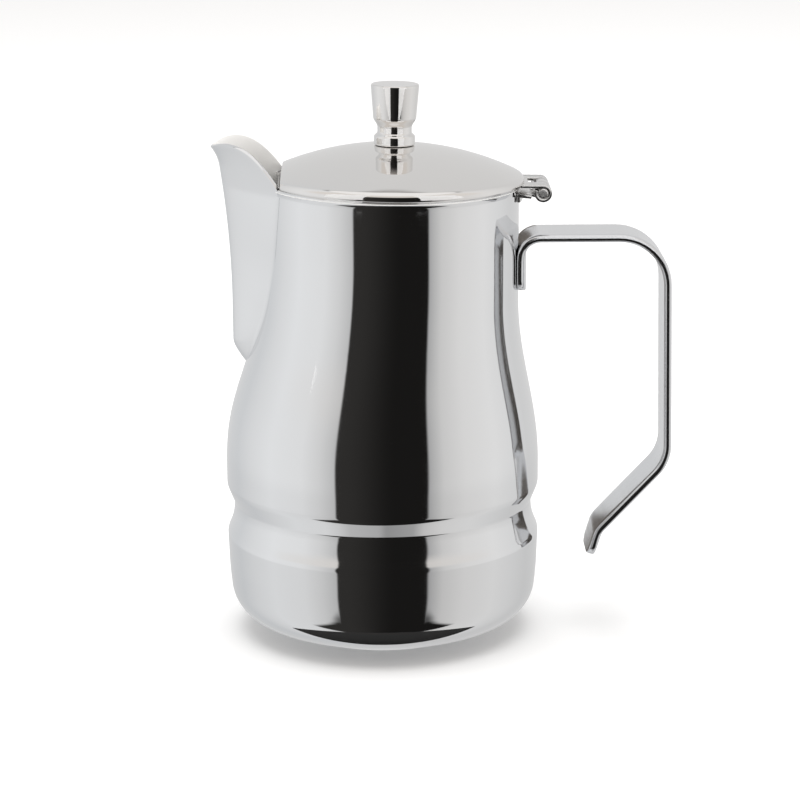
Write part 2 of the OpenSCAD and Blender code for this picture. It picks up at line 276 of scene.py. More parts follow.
def headings(path):
    path = np.array(path)
    ahead = np.vstack([path[1:], path[-1:]])
    behind = np.vstack([path[:1], path[:-1]])
    d = ahead - behind
    return d / np.linalg.norm(d, axis=1)[:, None]


def runs(path):
    """Distance along a path of each of its points."""
    steps = np.linalg.norm(np.diff(np.array(path), axis=0), axis=1)
    return np.concatenate([[0], np.cumsum(steps)])


def lid_turn():
    """The lid's pieces are worked out level, and this turns them about the pin to where they rest."""
    pin = Vector((PIN_X, 0, PIN_Z)) * MM
    turn = Matrix.Rotation(math.radians(REST_TILT), 4, "Y")
    return Matrix.Translation(pin) @ turn @ Matrix.Translation(-pin)


# ---------- meshes ----------


def new_object(name, points, faces):
    mesh = bpy.data.meshes.new(name)
    mesh.from_pydata([tuple(float(c) * MM for c in p) for p in points], [], faces)
    obj = bpy.data.objects.new(name, mesh)
    bpy.context.scene.collection.objects.link(obj)
    return obj


def edit(obj, *steps):
    """Runs bmesh steps on an object's mesh."""
    bm = bmesh.new()
    bm.from_mesh(obj.data)
    for step in steps:
        step(bm)
    bm.to_mesh(obj.data)
    bm.free()
    return obj


def drop_loose(bm):
    bmesh.ops.delete(bm, geom=[v for v in bm.verts if not v.link_faces], context="VERTS")


def merge(bm):
    bmesh.ops.remove_doubles(bm, verts=bm.verts, dist=1e-3 * MM)
    bmesh.ops.dissolve_degenerate(bm, edges=bm.edges, dist=1e-4 * MM)


def fill_ends(bm):
    bmesh.ops.holes_fill(bm, edges=bm.edges)


def face_out(bm):
    bmesh.ops.recalc_face_normals(bm, faces=bm.faces)


def face_from(bm, middle):
    """Turns an open sheet's faces so that they look away from a point inside it."""
    bmesh.ops.recalc_face_normals(bm, faces=bm.faces)
    if sum(f.normal.dot(f.calc_center_median() - middle) * f.calc_area() for f in bm.faces) < 0:
        bmesh.ops.reverse_faces(bm, faces=bm.faces)


def face_away(bm, direction):
    """Turns an open sheet's faces so that, taken together, they look along the direction."""
    bmesh.ops.recalc_face_normals(bm, faces=bm.faces)
    if sum((f.normal * f.calc_area() for f in bm.faces), Vector()) @ direction < 0:
        bmesh.ops.reverse_faces(bm, faces=bm.faces)


def grid(name, rows, wrap=False):
    """A skin through rows of points, every row as long as the first. wrap joins each row's ends."""
    n, m = len(rows[0]), len(rows)
    columns = n if wrap else n - 1
    faces = [(i * n + j, i * n + (j + 1) % n, (i + 1) * n + (j + 1) % n, (i + 1) * n + j)
             for i in range(m - 1) for j in range(columns)]
    return edit(new_object(name, [p for row in rows for p in row], faces), merge)


def lathe(name, outline, centre=(0, 0), columns=128):
    """An outline of (radius, z) points turned about an upright axis."""
    angles = [2 * math.pi * j / columns for j in range(columns)]
    rows = [[(centre[0] + r * math.cos(a), centre[1] + r * math.sin(a), z) for a in angles]
            for r, z in outline]
    return edit(grid(name, rows, wrap=True), face_out)


def apply_modifiers(obj):
    graph = bpy.context.evaluated_depsgraph_get()
    mesh = bpy.data.meshes.new_from_object(obj.evaluated_get(graph))
    obj.modifiers.clear()
    obj.data = mesh
    return obj


def thicken(obj, thickness, offset=-1):
    """Gives a sheet its thickness. With offset -1 it grows inwards, away from its normals."""
    mod = obj.modifiers.new("thickness", "SOLIDIFY")
    mod.thickness = thickness * MM
    mod.offset = offset
    mod.use_even_offset = True
    mod.use_rim = True
    return apply_modifiers(obj)


def soften(obj, width, segments=3, angle=40):
    """Rounds the edges sharper than the angle, in degrees."""
    mod = obj.modifiers.new("edges", "BEVEL")
    mod.width = width * MM
    mod.segments = segments
    mod.limit_method = "ANGLE"
    mod.angle_limit = math.radians(angle)
    mod.harden_normals = False
    return apply_modifiers(obj)


def smooth(obj, angle=50):
    obj.data.shade_smooth()
    obj.data.set_sharp_from_angle(angle=math.radians(angle))
    return obj


def satin_inside(obj, is_inside):
    """Gives the faces on the inside of a sheet the unpolished finish."""
    obj.data.materials.append(INSIDE_STEEL)
    for face in obj.data.polygons:
        face.material_index = int(is_inside(face.center / MM, face.normal))
    return obj


def finished(obj, body, slot, material, *nodes, angle=50):
    smooth(obj, angle)
    obj.data.materials.clear()
    obj.data.materials.append(material)
    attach(obj, body)
    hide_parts(*nodes)
    return obj


# ---------- materials ----------


def math_node(tree, operation, a, b):
    made = tree.nodes.new("ShaderNodeMath")
    made.operation = operation
    for slot, value in zip(made.inputs, (a, b)):
        if isinstance(value, (int, float)):
            slot.default_value = value
        else:
            tree.links.new(value, slot)
    return made.outputs[0]


class Shader:
    """A material's node tree, built up by short calls."""

    def __init__(self, name):
        self.material = bpy.data.materials.new(name)
        self.material.use_nodes = True
        self.tree = self.material.node_tree
        self.tree.nodes.clear()
        self.principled = self.node("ShaderNodeBsdfPrincipled")
        output = self.node("ShaderNodeOutputMaterial")
        self.link(self.principled.outputs["BSDF"], output.inputs["Surface"])
        self.place = self.node("ShaderNodeTexCoord").outputs["Object"]

    def node(self, kind, **settings):
        made = self.tree.nodes.new(kind)
        for key, value in settings.items():
            setattr(made, key, value)
        return made

    def link(self, output, target):
        self.tree.links.new(output, target)

    def noise(self, scale, detail=3, stretch=(1, 1, 1), distortion=0.0):
        """Noise in the object's own space. Scale is in waves a metre."""
        mapping = self.node("ShaderNodeMapping")
        mapping.inputs["Scale"].default_value = stretch
        self.link(self.place, mapping.inputs["Vector"])
        noise = self.node("ShaderNodeTexNoise")
        noise.inputs["Scale"].default_value = scale
        noise.inputs["Detail"].default_value = detail
        noise.inputs["Distortion"].default_value = distortion
        self.link(mapping.outputs["Vector"], noise.inputs["Vector"])
        return noise.outputs["Fac"]

    def spread(self, value, low, high, start=0.3, end=0.7):
        """Maps a noise value to the range low to high."""
        ramp = self.node("ShaderNodeMapRange")
        ramp.inputs["From Min"].default_value = start
        ramp.inputs["From Max"].default_value = end
        ramp.inputs["To Min"].default_value = low
        ramp.inputs["To Max"].default_value = high
        self.link(value, ramp.inputs["Value"])
        return ramp.outputs["Result"]

    def maths(self, operation, a, b):
        return math_node(self.tree, operation, a, b)

    def mix(self, factor, a, b):
        made = self.node("ShaderNodeMix", data_type="RGBA")
        self.link(factor, made.inputs["Factor"])
        for slot, value in ((made.inputs[6], a), (made.inputs[7], b)):
            slot.default_value = (*value, 1)
        return made.outputs[2]

    def bump(self, height, distance, strength=1.0, under=None):
        bump = self.node("ShaderNodeBump")
        bump.inputs["Strength"].default_value = strength
        bump.inputs["Distance"].default_value = distance
        self.link(height, bump.inputs["Height"])
        if under is not None:
            self.link(under, bump.inputs["Normal"])
        return bump.outputs["Normal"]

    def set(self, name, value):
        target = self.principled.inputs[name]
        if hasattr(value, "is_linked"):
            self.link(value, target)
        else:
            target.default_value = value


def polished_steel(name, bright, dull, roughness, wave=0.000004, lines=(60, 60, 2600)):
    """Mirror-polished sheet: a faint waviness, hairline polishing rings and slight smudges."""
    s = Shader(name)
    smudge = s.noise(26, 4, distortion=0.6)
    s.set("Base Color", s.mix(smudge, bright, dull))
    s.set("Metallic", 1.0)
    rings = s.noise(1, 2, stretch=lines)
    base = s.spread(smudge, roughness[0], roughness[1])
    s.set("Roughness", s.maths("ADD", base, s.spread(rings, -0.006, 0.012)))
    waves = s.bump(s.noise(90, 1), wave, 0.6)
    s.set("Normal", s.bump(rings, 0.0000004, 0.35, waves))
    return s.material


def brushed_steel(name, bright, dull, roughness, lines=(900, 30, 900), metallic=1.0):
    """Finely polished strip: hairlines along the run, softer reflections than the sheet."""
    s = Shader(name)
    patches = s.noise(40, 3)
    hairlines = s.noise(1, 3, stretch=lines)
    s.set("Base Color", s.mix(patches, bright, dull))
    s.set("Metallic", metallic)
    base = s.spread(patches, roughness[0], roughness[1])
    s.set("Roughness", s.maths("ADD", base, s.spread(hairlines, -0.02, 0.03)))
    s.set("Normal", s.bump(hairlines, 0.0000012, 0.5))
    return s.material


def weld_finish():
    """Dressed weld: duller than the sheet, with the grinder's fine marks."""
    s = Shader("dressed_weld")
    marks = s.noise(1400, 3, stretch=(1, 1, 0.3))
    heat = s.noise(320, 2)
    s.set("Base Color", s.mix(heat, (0.74, 0.74, 0.75), (0.66, 0.64, 0.62)))
    s.set("Metallic", 1.0)
    s.set("Roughness", s.spread(marks, 0.12, 0.26))
    s.set("Normal", s.bump(marks, 0.000004, 0.4))
    return s.material


BODY_STEEL = polished_steel("body_mirror", (0.83, 0.835, 0.84), (0.80, 0.80, 0.805), (0.035, 0.06))
LID_STEEL = polished_steel("lid_mirror", (0.84, 0.825, 0.81), (0.81, 0.795, 0.78), (0.035, 0.06))
HANDLE_STEEL = brushed_steel("handle_polish", (0.78, 0.785, 0.80), (0.74, 0.745, 0.76), (0.13, 0.18))
HINGE_STEEL = brushed_steel("hinge_polish", (0.76, 0.75, 0.74), (0.70, 0.69, 0.68), (0.12, 0.2))
WELD_STEEL = weld_finish()
# The insides are blasted: pale and matt, with next to no mirror left in them
INSIDE_STEEL = brushed_steel("inside_satin", (0.95, 0.94, 0.92), (0.91, 0.90, 0.88), (0.55, 0.62),
                             lines=(60, 60, 900), metallic=0.1)


# ---------- body ----------


def window_half(z):
    """Half-width of the window in the neck behind the spout, with a rounded foot."""
    if z <= WINDOW_Z:
        return 0
    full = seam_w(min(z, RIM_Z)) - WINDOW_MARGIN
    rise = min(1, (z - WINDOW_Z) / WINDOW_ROUND)
    return full * math.sqrt(1 - (1 - rise) ** 2)


def lower_line():
    """(radius, z) of the recess, foot, barrel, groove and bulge, in short steps."""
    ring = BASE_R - RING_W
    line = round_path(
        [(0, RECESS), (ring - RECESS, RECESS), (ring, 0), (BASE_R, 0), FOOT_POINT, BARREL_POINT,
         (BARREL_R, GROOVE_Z[0]), (GROOVE_R, GROOVE_Z[1]), (GROOVE_R, GROOVE_Z[2]),
         (BULGE_R, GROOVE_Z[3]), (BULGE_R, BULGE_Z)], LOWER_BENDS, 12)
    return in_steps(line, 1.2)


def body_rings():
    """(centre x, radius, z, half-angle of the window) from the middle of the base up to the rim."""
    step = 1.3
    rings = [(0, r, z) for r, z in lower_line()]
    levels = np.concatenate([
        np.arange(BULGE_Z + step, WINDOW_Z, step), WINDOW_Z + np.linspace(0.02, WINDOW_ROUND, 12),
        np.arange(WINDOW_Z + WINDOW_ROUND + 0.6, RIM_Z - FLARE_H, step),
        np.linspace(RIM_Z - FLARE_H, RIM_Z, 9)])
    rings += [(centre_x(z), circle_r(z) + flare(z), z) for z in levels]
    return [(*ring, math.asin(window_half(ring[2]) / ring[1]) if ring[1] > 0 else 0) for ring in rings]


def body_shell(columns=224):
    rows = []
    for x, r, z, gap in body_rings():
        angles = np.linspace(-math.pi + gap, math.pi - gap, columns + 1)
        ring = [(x + r * math.cos(a), r * math.sin(a)) for a in angles]
        rows.append([(px, py, z + raised(px, z)) for px, py in ring])
    obj = grid("pot_body", rows)
    edit(obj, lambda bm: face_from(bm, Vector((0, 0, 0.06))))
    thicken(obj, WALL)
    soften(obj, 0.18)
    finished(obj, "pot", "body_steel", BODY_STEEL, "body_shell")
    middle = Vector((NECK_SHIFT / 2, 0, 60))
    return satin_inside(obj, lambda p, n: (p - middle).dot(n) < 0)


# ---------- spout ----------


def spout_point(t, s, tops):
    """A point on the spout's outer face: t across it from -1 to 1, s up it from 0 to 1."""
    z = FOOT_Z + (tops - FOOT_Z) * s ** 1.5
    y = t * seam_w(z)
    return (fold_x(z, y), y, z)


def spout(columns=72, rows=96):
    across = np.linspace(-1, 1, columns + 1)
    tops = [lip_top(t) for t in across]
    skin = [[spout_point(t, i / rows, top) for t, top in zip(across, tops)] for i in range(rows + 1)]
    obj = grid("pot_spout", skin)
    edit(obj, lambda bm: face_away(bm, Vector((-1, 0, 0.15))))
    thicken(obj, SPOUT_WALL)
    soften(obj, 0.2)
    finished(obj, "pot", "body_steel", BODY_STEEL, "spout")
    # The nearly level faces are the lip's edge, which is polished like the outside
    return satin_inside(obj, lambda p, n: (p.x + 20) * n.x + p.y * n.y < 0 and abs(n.z) < 0.6)


def seam_point(z, side):
    return np.array([seam_x(z), side * seam_w(z), z])


def spout_weld(steps=60, arc_steps=8):
    """The dressed weld: a hollow fillet between the neck and the spout, round the foot and back up."""
    levels = [FOOT_Z + 0.02 + (RIM_Z - 0.4 - FOOT_Z) * (i / steps) ** 2.2 for i in range(steps + 1)]
    path = [(z, -1) for z in reversed(levels)] + [(z, 1) for z in levels]
    points = np.array([seam_point(z, side) for z, side in path])
    ahead = np.gradient(points, axis=0)
    rows = []
    for (z, side), p, along in zip(path, points, ahead):
        along = along / np.linalg.norm(along)
        out = np.array([p[0] - centre_x(z), p[1], 0])
        out /= np.linalg.norm(out)
        down_neck = np.cross(out, along)
        inner = np.array([fold_x(z, 0.9 * p[1]), 0.9 * p[1], z]) - p
        if z - FOOT_Z < 0.5:
            inner = np.array([nose_x(z + 0.6), 0, z + 0.6]) - p
        inner -= along * (inner @ along)
        up_spout = inner / max(np.linalg.norm(inner), 1e-6)
        if down_neck @ up_spout > 0:
            down_neck = -down_neck
        size = FILLET * min(1, 0.35 + (z - FOOT_Z) / 6)
        a, b = p + down_neck * size, p + up_spout * size
        ring = []
        for i in range(arc_steps + 1):
            t = i / arc_steps
            ring.append(a * (1 - t) ** 2 + p * 2 * t * (1 - t) + b * t ** 2)
        ring.append(p - out * 0.35)
        rows.append(ring)
    obj = grid("pot_spout_weld", rows, wrap=True)
    edit(obj, fill_ends, face_out)
    return finished(obj, "pot", "body_steel", BODY_STEEL, "spout_weld", angle=60)


# ---------- handle ----------


def grip_path():
    """Middle line of the strap in X and Z, from the tab's lower end to the tip."""
    tab_x = NECK_SIDE + STRAP_T / 2
    elbow = np.array((GRIP_X, ELBOW_Z))
    knee = elbow - TIP_RUN
    return in_steps(round_path([(tab_x, TAB_Z), (tab_x, GRIP_Z), (GRIP_X - GRIP_LEAN, GRIP_Z), elbow,
                                knee, knee - TIP_END], BEND_R), 1.5)


def strap_half(s, length):
    e = min(s, length - s, END_R)
    return STRAP_W / 2 - END_R + math.sqrt(max(0, END_R ** 2 - (END_R - e) ** 2))


def dish(s, y):
    """The tab is dished to the neck, and the strap has flattened out by the end of its first bend."""
    return (NECK_R - math.sqrt(NECK_R ** 2 - y * y)) * (1 - ease((s - 8) / 10))


def strap_section(half):
    """(across, outwards) points round the strap: flat faces, flat edges, and rounded corners."""
    t, e = STRAP_T / 2, EDGE_R
    points = []
    for cx, cz, start in ((half - e, -t + e, -90), (half - e, t - e, 0),
                          (-half + e, t - e, 90), (-half + e, -t + e, 180)):
        points += [tuple(p) for p in arc((cx, cz), e, start, start + 90, 4)]
        if start in (0, 180):
            side = 1 if start == 0 else -1
            points += [(side * (half - e) * k / 5, side * t) for k in range(4, -5, -1)]
    return points


def handle():
    path = grip_path()
    first, last = path[0], path[-1]
    directions = headings(path)
    ends = [0.0, 0.05, 0.2, 0.45, 0.8, 1.3, 1.9, 2.6, 3.5]
    start = [first + directions[0] * e for e in ends]
    finish = [last - directions[-1] * e for e in reversed(ends)]
    whole = start + path[4:-4] + finish
    run, heading = runs(whole), headings(whole)
    rows = []
    for p, h, s in zip(whole, heading, run):
        half = strap_half(max(s, 0.02) if s < run[-1] / 2 else min(s, run[-1] - 0.02), run[-1])
        rows.append([(p[0] - h[1] * (d + dish(s, y)), y, p[1] + h[0] * (d + dish(s, y)))
                     for y, d in strap_section(half)])
    obj = grid("handle_strap_polished", rows, wrap=True)
    edit(obj, fill_ends, face_out)
    soften(obj, 0.45, 3, 55)
    return finished(obj, "pot", "handle_steel", HANDLE_STEEL, "handle_strap")


def button(name, place, r, low, high, round_r=0.3):
    """A short round weld: place is a matrix whose Z points along it."""
    outline = [(0, low), (r - round_r, low)]
    outline += [tuple(p) for p in arc((r - round_r, low + round_r), round_r, -90, 0, 4)]
    outline += [(r, high), (0, high)]
    obj = lathe(name, outline, columns=40)
    obj.data.transform(place)
    return obj


def neck_place(y, z):
    """Matrix that stands on the neck's outer face, its Z pointing inwards."""
    a = math.asin(y / NECK_R)
    foot = Vector((NECK_SHIFT + NECK_R * math.cos(a), y, z)) * MM
    inwards = Vector((-math.cos(a), -math.sin(a), 0))
    return Matrix.Translation(foot) @ inwards.to_track_quat("Z", "Y").to_matrix().to_4x4()


def joined(name, objects):
    """One object from several."""
    bm = bmesh.new()
    for o in objects:
        bm.from_mesh(o.data)
        bpy.data.objects.remove(o)
    mesh = bpy.data.meshes.new(name)
    bm.to_mesh(mesh)
    bm.free()
    obj = bpy.data.objects.new(name, mesh)
    bpy.context.scene.collection.objects.link(obj)
    return obj


def spot_welds(name, node, places, size=1.9, depth=0.5):
    """Low buttons on the inside of the neck's wall."""
    profile = [(0, 1), (0.47, 0.96), (0.68, 0.76), (0.84, 0.44), (1, 0.1)]
    outline = [(size * r, WALL + depth * h) for r, h in profile] + [(size, WALL - 0.3), (0, WALL - 0.3)]
    welds = []
    for i, (y, z) in enumerate(places):
        weld = lathe(f"{name}_{i}", outline, columns=36)
        weld.data.transform(neck_place(y, z))
        welds.append(weld)
    obj = joined(name, welds)
    edit(obj, face_out)
    return finished(obj, "pot", "weld_steel", WELD_STEEL, node)


# ---------- hinge ----------


def sheet_piece(name, path, thickness, stations, keep, edge=0.12):
    """A bent sheet: its middle line in X and Z, its breaks in Y, and which cells there is metal in."""
    n = len(stations)
    points = [(p[0], y, p[1]) for p in path for y in stations]
    faces = []
    for i in range(len(path) - 1):
        for j in range(n - 1):
            if keep((stations[j] + stations[j + 1]) / 2, path[i]):
                faces.append((i * n + j, i * n + j + 1, (i + 1) * n + j + 1, (i + 1) * n + j))
    obj = new_object(name, points, faces)
    edit(obj, drop_loose)
    thicken(obj, thickness, offset=0)
    soften(obj, edge, 2, 50)
    return obj


def hinge_leaf():
    top = PIN_Z + KNUCKLE_R - LEAF_T / 2
    bend_x = STEP_X + 0.3
    slot_x = PIN_X - 4
    path = round_path([PAD_START, PAD_END, (STEP_X, top), (slot_x, top)], [2, 2], 8)
    path += [np.array([x, top]) for x in (slot_x + 1.4, slot_x + 2.8)]
    path += arc((PIN_X, PIN_Z), KNUCKLE_R - LEAF_T / 2, 90, -205, 44)
    half, pad, slot = STRAP_W / 2, PAD_HALF, MIDDLE_L / 2 + SIDE_GAP
    stations = [-half, -pad, -slot, slot, pad, half]

    def keep(y, p):
        if p[0] < bend_x and p[1] > top - 0.1:
            return abs(y) < pad
        if p[0] < slot_x - 0.01:
            return True
        return abs(y) > slot

    obj = sheet_piece("hinge_upper_leaf", path, LEAF_T, stations, keep)
    obj.data.transform(lid_turn())
    return finished(obj, "lid", "hinge_steel", HINGE_STEEL, "lid_hinge_leaf")


def hinge_bracket():
    low = PIN_Z - KNUCKLE_R + LEAF_T / 2
    plate_end = PIN_X - KNUCKLE_R - 0.8
    path = round_path([(38.4, BRACKET_Z + 0.4), (PIN_X - 3.5, BRACKET_Z), (PIN_X - 0.4, low)], [4], 8)[:-1]
    path += arc((PIN_X, PIN_Z), KNUCKLE_R - LEAF_T / 2, -90 - 9, 200, 44)
    half, knuckle = STRAP_W / 2, MIDDLE_L / 2
    stations = [-half, -knuckle, knuckle, half]
    plate = sheet_piece("plate", path, LEAF_T, stations,
                        lambda y, p: abs(y) < knuckle or p[0] < plate_end)
    flange_r = NECK_R + 0.05
    swing = math.asin(half / (flange_r + LEAF_T))
    angles = np.linspace(-swing, swing, 25)
    rows = [[(NECK_SHIFT + flange_r * math.cos(a), flange_r * math.sin(a), z) for a in angles]
            for z in np.linspace(BRACKET_Z - FLANGE_W, BRACKET_Z + LEAF_T / 2, 6)]
    flange = grid("flange", rows)
    edit(flange, lambda bm: face_away(bm, Vector((1, 0, 0))))
    thicken(flange, LEAF_T, offset=1)
    soften(flange, 0.2, 2)
    obj = joined("hinge_lower_bracket", [plate, flange])
    return finished(obj, "pot", "hinge_steel", HINGE_STEEL, "hinge_bracket")


def hinge_pin():
    half = (PIN_HI.y - PIN_LO.y) / 2
    outline = [(0, -half), (PIN_R - 0.45, -half)]
    outline += [tuple(p) for p in arc((PIN_R - 0.35, -half + 0.35), 0.35, -90, 0, 4)]
    outline += [tuple(p) for p in arc((PIN_R - 0.35, half - 0.35), 0.35, 0, 90, 4)]
    outline += [(PIN_R - 0.45, half), (0, half)]
    obj = lathe("hinge_pin_riveted", outline, columns=48)
    turn = Matrix.Rotation(math.pi / 2, 4, "X")
    obj.data.transform(Matrix.Translation(Vector((PIN_X, 0, PIN_Z)) * MM) @ turn)
    return finished(obj, "pot", "hinge_steel", HINGE_STEEL, "hinge_pin")


# ---------- lid ----------


def dome_z(r):
    return CROWN_Z - DOME_R + math.sqrt(DOME_R ** 2 - r * r)


def lid_outline():
    """(radius, z) of the lid's outer face: the dome, then its edge, which is rolled down and curls under."""
    bead_x = LID_R - BEAD_R
    bead_z = CROWN_Z - DOME_R + math.sqrt((DOME_R - BEAD_R) ** 2 - bead_x ** 2)
    lean = math.degrees(math.asin(bead_x / (DOME_R - BEAD_R)))
    dome = [(r, dome_z(r)) for r in np.linspace(0, DOME_R * math.sin(math.radians(lean)), 60)[:-1]]
    roll = arc((bead_x, bead_z), BEAD_R, 90 - lean, 0, 20)
    curl = arc((LID_R - CURL_R, bead_z), CURL_R, -9, -150, 18)
    return dome + [tuple(p) for p in roll + curl]


def cut(bm, place, normal, keep=None):
    """Adds an edge all along a plane, and deletes what lies past it if keep isn't given."""
    geometry = bm.verts[:] + bm.edges[:] + bm.faces[:]
    bmesh.ops.bisect_plane(bm, geom=geometry, plane_co=Vector(place) * MM, plane_no=Vector(normal),
                           clear_outer=keep is None, dist=1e-7)


def lid_cover():
    obj = lathe("lid_dome", lid_outline(), (LID_X, 0), columns=240)
    notch = STRAP_W / 2 + 0.15
    notch_x, notch_z = LID_X + 30, PIN_Z + KNUCKLE_R + 0.15

    def shape(bm):
        cut(bm, (-CHORD_X, 0, 0), (-1, 0, 0))
        for place, normal in (((0, notch, 0), (0, 1, 0)), ((0, -notch, 0), (0, -1, 0)),
                              ((0, 0, notch_z), (0, 0, 1)), ((notch_x, 0, 0), (1, 0, 0))):
            cut(bm, place, normal, keep=True)
        low, side, far = notch_z * MM, notch * MM, notch_x * MM
        gone = [f for f in bm.faces
                if f.calc_center_median().z < low and abs(f.calc_center_median().y) < side
                and f.calc_center_median().x > far]
        bmesh.ops.delete(bm, geom=gone, context="FACES")

    edit(obj, shape, lambda bm: face_from(bm, Vector((LID_X, 0, RIM_Z + BEAD_R)) * MM))
    thicken(obj, LID_WALL * 0.85)
    soften(obj, 0.12, 2)
    obj.data.transform(lid_turn())
    return finished(obj, "lid", "lid_steel", LID_STEEL, "lid_cover")


def leaf_welds():
    welds = []
    for x in (32.3, 35):
        for y in (-2.6, 2.6):
            r = math.hypot(x - LID_X, y)
            place = Matrix.Translation(Vector((x, y, dome_z(r) - LID_WALL - 1.25)) * MM)
            welds.append(button("weld", place, 0.9, 0, 1.3, 0.25))
    obj = joined("leaf_weld_spots", welds)
    edit(obj, face_out)
    obj.data.transform(lid_turn())
    return finished(obj, "lid", "weld_steel", WELD_STEEL, "leaf_spot_welds")


# ---------- knob ----------


def knob_r(h):
    """Radius at a height over the lid: the foot, the waist, and the head, which widens upwards."""
    if h < KNOB_FOOT_H:
        return KNOB_FOOT_R
    if h < KNOB_WAIST_H:
        return blend(KNOB_FOOT_R, KNOB_WAIST_R, (h - KNOB_FOOT_H) / KNOB_NARROWING_H)
    if h < KNOB_HEAD_H:
        return blend(KNOB_WAIST_R, KNOB_HEAD_R[0], part_way(h, (KNOB_WAIST_H, KNOB_HEAD_H)))
    up = part_way(h, (KNOB_HEAD_H, KNOB_H - KNOB_TOP_H))
    return KNOB_HEAD_R[0] + (KNOB_HEAD_R[1] - KNOB_HEAD_R[0]) * up


def knob():
    foot_round, top_round = 0.4, 0.55
    crown = KNOB_HEAD_R[1] - top_round
    outline = [(0, 0.6), (4.2, 0.6), (4.4, 0.05), (KNOB_FOOT_R - foot_round, 0)]
    outline += [tuple(p) for p in arc((KNOB_FOOT_R - foot_round, foot_round), foot_round, -75, 0, 5)]
    outline += [(knob_r(h), h) for h in np.arange(0.6, 16.6, 0.15)]
    outline += [tuple(p) for p in arc((crown, KNOB_H - KNOB_TOP_H), top_round, 0, 90, 6)]
    outline += [(crown * t, KNOB_H - 0.05 * (1 - (1 - t) ** 2)) for t in (0.98, 0.8, 0.5, 0.25, 0)]
    obj = lathe("lid_knob_turned", outline, columns=128)
    obj.data.transform(lid_turn() @ Matrix.Translation(Vector((LID_X, 0, KNOB_Z)) * MM))
    return finished(obj, "lid", "lid_steel", LID_STEEL, "lid_knob")


def under_lid(obj):
    seat = CROWN_Z - LID_WALL - 0.25 - WASHER[1]
    obj.data.transform(lid_turn() @ Matrix.Translation(Vector((LID_X, 0, seat)) * MM))
    return obj


def screw():
    """Slotted cheese-head screw that holds the knob from under the lid."""
    r, h = SCREW_HEAD
    outline = [(0, -h), (r - 0.9, -h)] + [tuple(p) for p in arc((r - 0.8, -h + 0.8), 0.8, -80, 0, 8)]
    outline += [(r, -0.1), (r - 0.1, 0), (SCREW_R, 0), (SCREW_R, 8), (0, 8.2)]
    obj = lathe("knob_screw_slotted", outline, columns=64)
    half_l, half_w, depth = 5, 0.45, 1
    corners = [(x, y, z) for x in (-half_l, half_l) for y in (-half_w, half_w)
               for z in (-h - depth, -h + depth)]
    box_faces = [(0, 1, 3, 2), (4, 6, 7, 5), (0, 4, 5, 1), (2, 3, 7, 6), (0, 2, 6, 4), (1, 5, 7, 3)]
    cutter = new_object("slot_cutter", corners, box_faces)
    edit(cutter, face_out)
    mod = obj.modifiers.new("slot", "BOOLEAN")
    mod.operation, mod.object, mod.solver = "DIFFERENCE", cutter, "EXACT"
    apply_modifiers(obj)
    bpy.data.objects.remove(cutter)
    under_lid(obj)
    return finished(obj, "lid", "hinge_steel", HINGE_STEEL, "knob_screw", angle=35)


def washer():
    r, t = WASHER
    hole = SCREW_R + 0.15
    outline = [(hole, 0.1), (hole + 0.1, 0), (r - 0.25, 0)]
    outline += [tuple(p) for p in arc((r - 0.25, 0.25), 0.25, -90, 0, 4)]
    outline += [(r, t - 0.1), (r - 0.1, t), (hole, t), (hole, 0.1)]
    obj = under_lid(lathe("knob_washer_pressed", outline, columns=64))
    return finished(obj, "lid", "hinge_steel", HINGE_STEEL, "knob_washer")


# ---------- studio ----------


class Sky:
    """World shader worked out from a direction: an angle round the pot and a height above the horizon."""

    def __init__(self):
        world = bpy.data.worlds.new("studio")
        bpy.context.scene.world = world
        world.use_nodes = True
        self.tree = world.node_tree
        self.tree.nodes.clear()
        place = self.tree.nodes.new("ShaderNodeTexCoord").outputs["Generated"]
        split = self.tree.nodes.new("ShaderNodeSeparateXYZ")
        self.tree.links.new(place, split.inputs[0])
        self.x, self.y, self.z = split.outputs
        to_degrees = 180 / math.pi
        self.round = self.times(self.maths("ARCTAN2", self.x, self.times(self.y, -1)), to_degrees)
        self.height = self.times(self.maths("ARCSINE", self.z), to_degrees)

    def maths(self, operation, a, b=0):
        return math_node(self.tree, operation, a, b)

    def times(self, first, *others):
        for other in others:
            first = self.maths("MULTIPLY", first, other)
        return first

    def step(self, value, start, end, low=0, high=1):
        """Goes smoothly from low to high while the value goes from start to end."""
        made = self.tree.nodes.new("ShaderNodeMapRange")
        made.interpolation_type = "SMOOTHSTEP"
        for name, number in (("From Min", start), ("From Max", end), ("To Min", low), ("To Max", high)):
            made.inputs[name].default_value = number
        self.tree.links.new(value, made.inputs["Value"])
        return made.outputs["Result"]

    def ramp(self, value, stops):
        """Colours at shares of the value from 0 to 1."""
        made = self.tree.nodes.new("ShaderNodeValToRGB")
        self.tree.links.new(value, made.inputs["Fac"])
        elements = made.color_ramp.elements
        elements[0].position, elements[0].color = stops[0][0], (*stops[0][1], 1)
        elements[1].position, elements[1].color = stops[-1][0], (*stops[-1][1], 1)
        for share, colour in stops[1:-1]:
            elements.new(share).color = (*colour, 1)
        return made.outputs["Color"]

    def mix(self, factor, a, b):
        made = self.tree.nodes.new("ShaderNodeMix")
        made.data_type = "RGBA"
        self.tree.links.new(factor, made.inputs["Factor"])
        for slot, value in ((made.inputs[6], a), (made.inputs[7], b)):
            if isinstance(value, tuple):
                slot.default_value = (*value, 1)
            else:
                self.tree.links.new(value, slot)
        return made.outputs[2]

    def show(self, colour, strength):
        background = self.tree.nodes.new("ShaderNodeBackground")
        background.inputs["Strength"].default_value = strength
        self.tree.links.new(colour, background.inputs["Color"])
        output = self.tree.nodes.new("ShaderNodeOutputWorld")
        self.tree.links.new(background.outputs[0], output.inputs["Surface"])


def grey(value, warmth=0.0):
    return (value * (1 + warmth), value, value * (1 - warmth))


